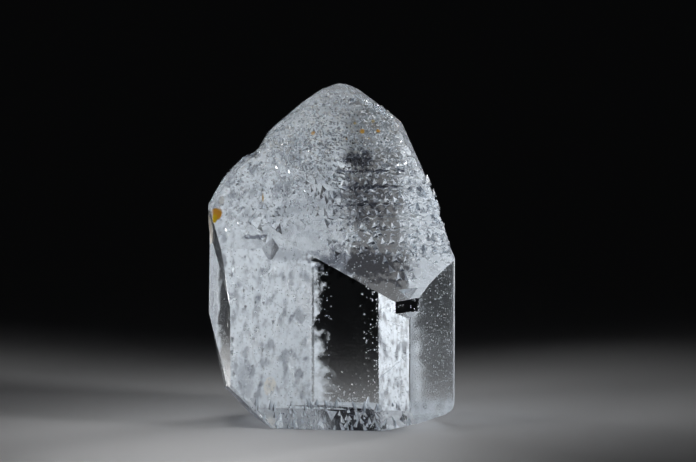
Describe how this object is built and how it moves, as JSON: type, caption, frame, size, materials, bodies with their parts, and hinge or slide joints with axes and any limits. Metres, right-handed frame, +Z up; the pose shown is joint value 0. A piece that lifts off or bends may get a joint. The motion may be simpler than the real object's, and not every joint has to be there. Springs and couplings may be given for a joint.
{
  "type": "goshenite crystal",
  "caption": "Colourless beryl crystal: a stubby six-sided prism standing on its base, its end dissolved into a long stepped slope with a rounded shoulder.",
  "frame": {"origin": "bottom centre of the bounding box, on the flat base the crystal stands on", "axes": "+Z up, along the prism's length; -Y to the front, where the broad window face and the long slope look; +X to the right seen from the front"},
  "size_m": [0.0146, 0.014, 0.0198],
  "materials": {
    "beryl": "clear and glossy on the prism faces, etched and frosted on the slopes"
  },
  "bodies": {
    "root": {"goshenite_crystal": "beryl"}
  },
  "joints": []
}
